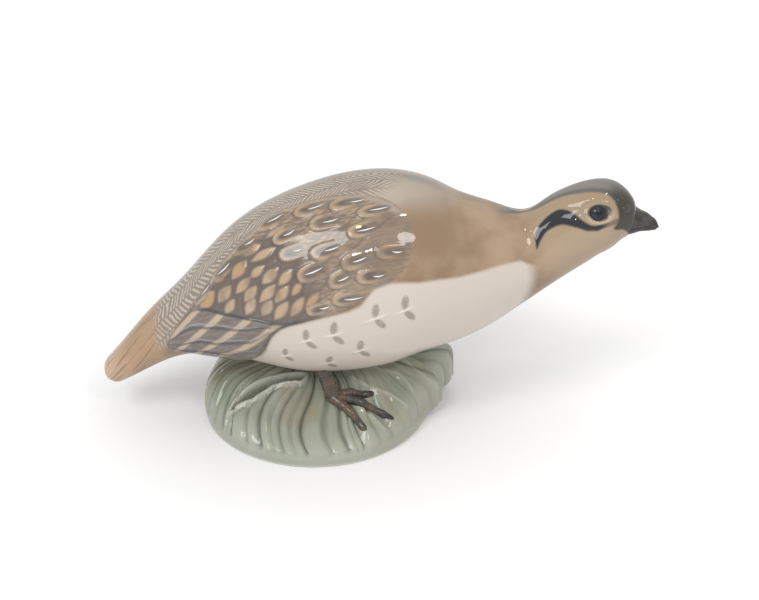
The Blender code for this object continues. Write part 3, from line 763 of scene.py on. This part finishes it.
def leafReach(direction):
    reach = np.zeros(np.shape(direction))
    for angle, length, spread in mound["leaves"]:
        reach = np.maximum(reach, length * np.clip(1 - np.abs(turnFrom(direction, angle)) / spread, 0, 1))
    return reach


def rimRadius(direction):
    return footRadius(direction) + leafReach(direction)


def domeHeight(share, direction):
    fullness = readAround(mound["fullness"], direction)
    rise = np.clip(1 - np.clip(share, 0, 1) ** fullness, 0, 1) ** (1 / fullness)
    return mound["plinth"] + (mound["height"] - mound["plinth"]) * rise


def moundTop(x, y):
    x = x - mound["x"]
    direction = np.arctan2(y, x)
    return domeHeight(np.hypot(x, y) / rimRadius(direction), direction)


def bladeLines():  # directions from crease to crease, and the height across each blade
    number = np.arange(mound["blades"] + 1)
    creases = (number + mound["uneven"] * np.sin(mound["pitch"] * number)) * 2 * math.pi / mound["blades"]
    creases[-1] = 2 * math.pi
    t = np.arange(mound["linesInBlade"]) / mound["linesInBlade"] * 3
    low, crest, shoulder = mound["profile"]
    rise = low + (crest - low) * np.sin(np.clip(t, 0, 1) * quarter) ** 0.8
    fall = crest + (shoulder - crest) * softStep(t - 1)
    end = shoulder + (low - shoulder) * (1 - np.cos(np.clip(t - 2, 0, 1) * quarter))
    profile = np.where(t < 1, rise, np.where(t < 2, fall, end))
    middle, spread, weight = mound["split"]
    profile = profile - weight * bell((t - middle) / spread)
    widths = np.diff(creases)[:, None]
    lines = creases[:-1, None] + widths * t / 3
    heights = np.clip(widths / (2 * math.pi / mound["blades"]) * profile, -1, 1)
    middle, spread, weight = mound["smooth"]
    return lines.ravel(), (heights * (1 - weight * bell(turnFrom(lines, middle) / spread))).ravel()


def onMound(places):  # ground places of directions in degrees and shares of the radius
    direction, share = np.radians([place[0] for place in places]), np.array([place[1] for place in places])
    radius = share * rimRadius(direction)
    return np.stack((mound["x"] + radius * np.cos(direction), radius * np.sin(direction)), -1)


# The folded leaf, veins and lobes: relief in mm, lips (painted light as a highlight, and the veins too), the
# hollow (painted dark as shade), and where blades stop
def carveMound(x, y):
    depth = depthInside(foldOutline, x, y)
    # The fold's raised lips, later painted light as a painted highlight
    lip = bell((depth - 0.15) / mound["foldLip"])
    inner = softStep(depth - 0.5)
    relief = mound["foldRise"] * lip - mound["foldDepth"] * inner
    for vein in veinCurves:
        nearest = np.min([distanceTo(a, b, x, y) for a, b in zip(vein[:-1], vein[1:])], axis=0)
        relief = relief + mound["veinRise"] * bell(nearest / mound["veinReach"])
        # the veins take the same light paint as the lips
        lip = np.maximum(lip, 0.6 * bell(nearest / (0.5 * mound["veinReach"])))
    for (middleX, middleY), (_, _, reach, high) in zip(lobeMiddles, mound["lobes"]):
        relief = relief + high * bell(np.hypot(x - middleX, y - middleY) / reach)
    return relief, lip, inner, softStep((depth + 2.4) / 1.8)


foldOutline = closedCurve(onMound(mound["fold"]), 4)
veinCurves = [onMound(vein) for vein in mound["veins"]]
lobeMiddles = onMound([lobe[:2] for lobe in mound["lobes"]])


def bladePoint(line, crest, share):  # a place on the blades, and the direction it lies in
    swirl = mound["swirl"] * (1 - share) * np.sin(2 * line) - mound["bend"] * np.sin(2 * math.pi * share)
    direction = line - swirl
    lift = mound["rise"] * crest * softStep(2 * share)
    radius = share * rimRadius(direction) + np.minimum(lift, mound["riseAtRim"]) * share
    x, y = mound["x"] + radius * np.cos(direction), radius * np.sin(direction)
    carved, lip, inner, calm = carveMound(x, y)
    ridge = lift * (1 - share**4) * (1 - calm) * (1 + 0.8 * bell((share - 0.8) / 0.17))
    height = domeHeight(share, direction) + ridge + carved
    return np.stack((x, y, height), -1), lip, inner


def makeMound(material):
    lines, crest = bladeLines()
    foot, reach = footRadius(lines), leafReach(lines)
    plinth, bulge, recess, vent = (mound[key] for key in ("plinth", "bulge", "recess", "vent"))
    rings, fields = [], dict(crease=[], under=[], share=[], lip=[])

    def ring(points, crease=0.0, under=0.0, share=1.0, lip=0.0):
        rings.append(points)
        for field, value in zip(fields.values(), (crease, under, share, lip)):
            field.append(np.broadcast_to(value, lines.shape))

    def level(radius, height, **painted):
        height = np.broadcast_to(height, lines.shape)
        ring(np.stack((mound["x"] + radius * np.cos(lines), radius * np.sin(lines), height), -1), **painted)

    for share in np.sin(np.linspace(0, quarter, mound["rings"] + 1))[1:]:
        points, lip, inner = bladePoint(lines, crest, share)
        # Painted shade in the creases between blades and in the fold's hollow
        hollowShade = softStep((0.15 - crest) * softStep(share / 0.4)) * (1 - inner)
        ring(points, np.maximum(hollowShade, inner), share=share, lip=lip)
    overhang = reach * 0.6
    inner = foot + bulge + overhang
    rim = foot + reach + np.minimum(mound["rise"] * crest, mound["riseAtRim"])
    for share in np.linspace(0, 1, 9)[1:]:  # round the rim
        # painted shade deepens the creases round the rim too
        hollowShade = softStep(0.6 * (1 - share) * (0.35 - crest))
        level(rim + (inner - rim) * softStep(share), plinth * (1 - 0.45 * share), crease=hollowShade)
    for share in np.linspace(0, 1, 5)[1:]:  # down the plinth
        level(foot + bulge * (1 - 0.3 * share) + overhang * (1 - 0.7 * share), plinth * (0.55 - 0.33 * share))
    for share in np.linspace(0, 1, 5)[1:]:  # round into the foot
        radius = foot + (bulge * 0.7 + overhang * 0.3) * np.sqrt(1 - share**2)
        level(radius, plinth * 0.22 * (1 - share), under=share)
    level(foot - mound["footRing"], 0.0, under=1.0)
    level(foot - mound["footRing"] - recess, recess, under=1.0)
    for height in (recess, recess + mound["ventDepth"]):
        level(np.full(lines.shape, vent), height, under=1.0)
    ends = [(mound["x"], 0, mound["height"]), (mound["x"], 0, recess + mound["ventDepth"])]
    for field, end in dict(crease=0, under=1, share=1, lip=0).items():
        fields[field] = np.concatenate(fields[field] + [[0, end]])
    faces = tubeFaces(len(rings), len(lines))
    return addMesh("mound", np.concatenate(rings + [ends]), faces, material, fields)


def moundMaterial():
    sheet = Sheet("celadonGlaze", 0.05)
    ground = sheet.mix(sheet.ramp(sheet.noise(38, 3), 0.36, 0.62), "moundLight", "moundGreen")
    ground = sheet.mix(sheet.ramp(sheet.noise(55), 0.52, 0.70, 0, 0.6), ground, "moundWarm")
    ground = sheet.mix(sheet.ramp(sheet.field("share"), 0.86, 1, 0, 0.5), ground, "moundRim")
    sheet.bump(110, 0.00015)
    # The creases and the fold's hollow are painted dark as shade
    # The lips and veins are painted light: a painted highlight
    layers = ("crease", 0.85, "moundDeep"), ("lip", 0.7, "moundLip"), ("under", 1, "bisque")
    return sheet.finish(sheet.coats(ground, *layers))


leg = dict(
    x=-15, y=18.5, shank=2.3, flare=1.1, ankle=1.9, toe=1.8, toeTip=0.9, sink=0.75,
    hipBack=3.8, hipIn=4, hipSink=8, rings=90, shankScutes=12, toeScutes=9,
    toes=((12.2, 10.8), (19.8, 2.8), (13.2, -3.6)),
)
# Sections of each mandible as share of the length, height, half width and half depth
bill = dict(
    root=75.7, length=13.2, z=69.6,
    upper=((0, 1.4, 6.3, 5.8), (0.2, 1.1, 6.1, 5.4), (0.3, 0.95, 5.6, 4.75), (0.38, 0.8, 4.95, 4),
           (0.46, 0.6, 4.3, 3.4), (0.57, 0.2, 3.4, 2.9), (0.7, -0.05, 2.6, 2.4), (0.83, -0.85, 1.8, 1.8),
           (0.925, -1.55, 1.2, 1.25), (0.988, -2.45, 0.28, 0.28)),
    lower=((0, -0.6, 6.1, 3.9), (0.2, -0.9, 5.9, 3.4), (0.3, -1.2, 5.4, 2.8), (0.38, -1.45, 4.8, 2.3),
           (0.46, -1.6, 4.1, 1.85), (0.57, -1.75, 3.3, 1.65), (0.7, -2, 2.5, 1.5), (0.83, -2.3, 1.6, 1.15),
           (0.9, -2.5, 1.1, 0.85), (0.948, -2.75, 0.28, 0.28)),
)


def loft(path, radii, lines=28):  # rings round a path of points
    ahead = np.gradient(path, axis=0)
    ahead /= np.linalg.norm(ahead, axis=1, keepdims=True)
    side = np.cross(ahead, (0, 0, 1))
    bad = np.linalg.norm(side, axis=1) < 0.35
    side[bad] = np.cross(ahead[bad], (1, 0, 0))
    side /= np.linalg.norm(side, axis=1, keepdims=True)
    top = np.cross(side, ahead)
    around = np.linspace(0, 2 * math.pi, lines, endpoint=False)
    ring = np.cos(around)[None, :, None] * side[:, None] + np.sin(around)[None, :, None] * top[:, None]
    return path[:, None] + ring * radii[:, None, None]


def joinLofts(name, lofts, material, fields):
    points, faces, start = [], [], 0
    values = {field: [] for field in fields[0]}
    for rings, own in zip(lofts, fields):
        rows, lines = rings.shape[:2]
        points += [rings.reshape(-1, 3), rings[:1].mean(axis=1), rings[-1:].mean(axis=1)]
        faces += tubeFaces(rows, lines, start)
        start += rows * lines + 2
        for field, numbers in own.items():
            numbers = np.broadcast_to(numbers[:, None], (rows, lines)).ravel()
            values[field] += [numbers, numbers[:1], numbers[-1:]]
    values = {field: np.concatenate(numbers) for field, numbers in values.items()}
    return addMesh(name, np.concatenate(points), faces, material, values)


def makeLeg(side, material):
    x, y, sink = leg["x"], side * leg["y"], leg["sink"]
    belly = min(section[1] - section[3] for section in bird["sections"][4:7])
    ankle = np.array((x, y, float(moundTop(x, y)) + leg["ankle"] - sink))
    hip = np.array((x - leg["hipBack"], y - side * leg["hipIn"], belly + leg["hipSink"]))
    share = np.linspace(0, 1, leg["rings"])
    scute = np.abs(np.sin(share * math.pi * leg["shankScutes"])) ** 0.5
    radius = leg["shank"] * (leg["flare"] + (1 - leg["flare"]) * share) * (0.96 + 0.035 * scute)
    radius *= 1 - 0.15 * softStep((share - 0.9) / 0.1)
    lofts = [loft(hip + (ankle - hip) * share[:, None], radius)]
    fields = [dict(scute=scute, claw=np.zeros(leg["rings"]))]
    for forward, outward in leg["toes"]:
        toeX, toeY = x + forward * share, y + side * outward * share
        thick = leg["toe"] + (leg["toeTip"] - leg["toe"]) * share
        z = moundTop(toeX, toeY) + thick - sink + 0.7 * bell((share - 0.45) / 0.4)
        path = np.stack((toeX, toeY, z + (ankle[2] - z[0]) * (1 - softStep(share / 0.3))), -1)
        scute = np.abs(np.sin(share * math.pi * leg["toeScutes"])) ** 0.5
        claw = softStep((share - 0.84) / 0.06)
        knuckle = bell((share - 0.45) / 0.12) + bell((share - 0.8) / 0.09)
        radius = thick * (0.97 + 0.03 * scute * (1 - claw)) + 0.22 * knuckle
        radius += 0.25 * bell((share - 0.05) / 0.2)
        lofts.append(loft(path, radius * np.sqrt(np.clip((1 - share) / 0.05, 0.02, 1)), 24))
        fields.append(dict(scute=scute * (1 - claw), claw=claw))
    return joinLofts("leg_left" if side > 0 else "leg_right", lofts, material, fields)


def makeMandible(name, sections, material):
    sections = np.array(sections)
    read = naturalSpline(sections[:, 0], sections[:, 1:])
    share = np.linspace(0, sections[-1, 0], 80)
    around = np.linspace(0, 2 * math.pi, 48, endpoint=False)
    rings = []
    for along, (height, width, depth) in zip(share, read(share)):
        x = np.full(around.shape, bill["root"] + bill["length"] * along)
        rings.append(np.stack((x, width * np.cos(around), bill["z"] + height + depth * np.sin(around)), -1))
    return joinLofts(name, [np.array(rings)], material, [dict(share=share)])


def makeEye(side, material):
    along, radius = np.array([head["eyeAlong"]]), head["eyeRadius"]
    angle = head["eyeUp"] / girth(along)
    spot = birdSurface(along, angle if side > 0 else math.pi - angle, 0.0)[0]
    outward = np.array((0.16, side, 0.30))  # a little forward and up
    outward /= np.linalg.norm(outward)
    polar = np.linspace(0.02, 1.5, 44)
    path = spot + outward * (np.cos(polar) * radius - radius + head["eyeProud"])[:, None]
    rings = loft(path, np.sin(polar) * radius, 48)
    return joinLofts("eye_left" if side > 0 else "eye_right", [rings], material, [dict(polar=np.sin(polar))])


def legMaterial():
    sheet = Sheet("legGlaze", 0.07)
    colour = sheet.mix(sheet.ramp(sheet.noise(160), 0.42, 0.62), "leg", "legWarm")
    colour = sheet.mix(sheet.ramp(sheet.noise(120), 0.58, 0.7, 0, 0.7), colour, "legPale")
    colour = sheet.mix(sheet.ramp(sheet.field("scute"), 0.2, 0.8, 0.6, 0), colour, "claw")
    colour = sheet.mix(sheet.field("claw"), colour, "claw")
    sheet.bump(400, 0.00004)
    return sheet.finish(colour)


def billMaterial():
    sheet = Sheet("billGlaze", 0.08)
    colour = sheet.mix(sheet.ramp(sheet.noise(300), 0.4, 0.7, 0, 0.6), "bill", "billPale")
    colour = sheet.mix(sheet.ramp(sheet.field("share"), 0.75, 1), colour, "stripe")
    sheet.bump(250, 0.00002)
    return sheet.finish(colour)


def eyeMaterial():
    sheet = Sheet("eyeGlaze", 0.08)
    return sheet.finish(sheet.mix(sheet.ramp(sheet.field("polar"), 0.30, 0.56), "iris", "irisRing"))


plumage = plumageMaterial()
makeBirdPart("bird_body", bodyGrid, plumage)
makeBirdPart("bird_head", headGrid, plumage)
makeShafts(shaftMaterial())
makeMound(moundMaterial())
legGlaze = legMaterial()
makeLeg(1, legGlaze)
makeLeg(-1, legGlaze)
billGlaze = billMaterial()
makeMandible("bill_upper", bill["upper"], billGlaze)
makeMandible("bill_lower", bill["lower"], billGlaze)
eyeGlaze = eyeMaterial()
makeEye(1, eyeGlaze)
makeEye(-1, eyeGlaze)
print("pieces done")

# Floor, lamps and camera
studio = dict(
    target=(0.00097, -0.0041, 0.0411), elevation=27, distance=0.6, focal=1851, photoWidth=759,
    world=0.75, worldSeen=0.98, worldGlossy=0.7, lampDistance=1,
    # The floor's glow to the camera is dimmer near the object: a painted shadow round it
    floor=(0.9, 0.9, 0.905, 1), paintedShadowMiddle=(-0.02, 0, 0), paintedShadowReach=(0.03, 0.16), glow=(0.035, 0.245),
)
# Lamps as azimuth right of the camera, elevation, width, height, radiance and colour; equal sides make a disk
lamps = dict(
    softbox=(-34.3, 45.9, 0.46, 0.36, 6, (0.93, 0.97, 1)),
    roundLamp=(25, 44, 0.2, 0.2, 8, (1, 1, 1)),
    warmLamp=(-5, 61, 0.05, 0.05, 34, (1, 0.72, 0.38)),
    coolLamp=(1, 36, 0.04, 0.04, 34, (0.9, 0.95, 1)),
    faceLamp=(44, 68, 0.05, 0.05, 34, (1, 0.86, 0.6)),
)


def makeFloor():  # white to the camera, but for the object's shadow and a painted shadow, as the glow dims towards the object
    mesh = bpy.data.meshes.new("floor")
    mesh.from_pydata([(-6, -6, 0), (6, -6, 0), (6, 6, 0), (-6, 6, 0)], [], [(0, 1, 2, 3)])
    sheet = Sheet("floorPaper")
    tree = sheet.tree
    tree.nodes.remove(sheet.shader)
    paper = addNode(tree, "BsdfDiffuse", studio["floor"]).outputs[0]
    ground = addNode(tree, "TexCoord").outputs["Object"]
    away = addNode(tree, "VectorMath", ground, studio["paintedShadowMiddle"], operation="DISTANCE").outputs["Value"]
    # the glow dims towards the object, a painted shadow
    glow = addNode(tree, "Emission", None, sheet.ramp(away, *studio["paintedShadowReach"], *studio["glow"])).outputs[0]
    glowing = addNode(tree, "AddShader", paper, glow).outputs[0]
    seen = addNode(tree, "LightPath").outputs["Is Camera Ray"]
    surface = addNode(tree, "MixShader", seen, paper, glowing).outputs[0]
    tree.links.new(surface, tree.nodes["Material Output"].inputs["Surface"])
    mesh.materials.append(sheet.material)
    floor = putInScene("floor", mesh)


def makeWorld():
    world = bpy.data.worlds.new("studioAir")
    bpy.context.scene.world = world
    world.use_nodes = True
    tree = world.node_tree
    air = tree.nodes["Background"]
    air.inputs["Color"].default_value = (1.0, 1.0, 1.0, 1.0)
    rays = addNode(tree, "LightPath").outputs
    strength = studio["world"]
    for ray, own in (("Is Glossy Ray", studio["worldGlossy"]), ("Is Camera Ray", studio["worldSeen"])):
        strength = addNode(tree, "MapRange", rays[ray], None, None, strength, own).outputs[0]
    tree.links.new(strength, air.inputs["Strength"])


def makeLamp(name, azimuth, elevation, width, height, radiance, colour):
    lamp = bpy.data.lights.new(name, "AREA")
    lamp.shape = "DISK" if width == height else "RECTANGLE"
    lamp.size, lamp.size_y, lamp.color = width, height, colour
    lamp.energy = radiance * math.pi * width * height * (math.pi / 4 if width == height else 1.0)
    holder = putInScene(name, lamp)
    azimuth, elevation = math.radians(azimuth), math.radians(elevation)
    level = math.cos(elevation)
    direction = Vector((level * math.sin(azimuth), -level * math.cos(azimuth), math.sin(elevation)))
    holder.location = Vector(studio["target"]) + direction * studio["lampDistance"]
    holder.rotation_mode = "QUATERNION"
    holder.rotation_quaternion = direction.to_track_quat("Z", "Y")


def makeCamera():
    camera = bpy.data.cameras.new("camera")
    camera.sensor_width = 36.0
    camera.lens = studio["focal"] / studio["photoWidth"] * camera.sensor_width
    camera.clip_start, camera.clip_end = 0.01, 50.0
    holder = putInScene("camera", camera)
    tilt = math.radians(studio["elevation"])
    back = Vector((0.0, -math.cos(tilt), math.sin(tilt)))
    holder.location = Vector(studio["target"]) + back * studio["distance"]
    holder.rotation_euler = (quarter - tilt, 0.0, 0.0)
    bpy.context.scene.camera = holder


makeFloor()
makeWorld()
for lampName, lampPlace in lamps.items():
    makeLamp(lampName, *lampPlace)
makeCamera()
bpy.context.scene.view_settings.view_transform = "Standard"
print("studio done")
